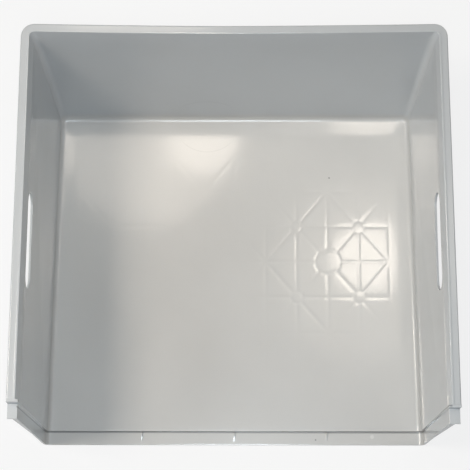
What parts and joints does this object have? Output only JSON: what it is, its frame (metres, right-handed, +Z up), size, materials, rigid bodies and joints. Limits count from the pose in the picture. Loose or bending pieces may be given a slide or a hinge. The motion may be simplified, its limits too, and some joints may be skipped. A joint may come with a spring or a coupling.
{
  "type": "fridge drawer body",
  "caption": "Moulded plastic fridge drawer body, open at the top and at the front, with a turned-down rim, hand slots in its sides and a stepped frame that seats a front panel.",
  "frame": {"origin": "middle of the overall outline in plan, on the surface that the drawer rests on", "axes": "+X to the drawer's right as seen from its open front, +Y from the open front to the back wall, +Z up"},
  "size_m": [0.44, 0.422, 0.188],
  "materials": {
    "polystyrene": "smooth glossy pale grey plastic, slightly milky, with fine handling scratches"
  },
  "bodies": {
    "root": {"drawer_body": "polystyrene"}
  },
  "joints": []
}
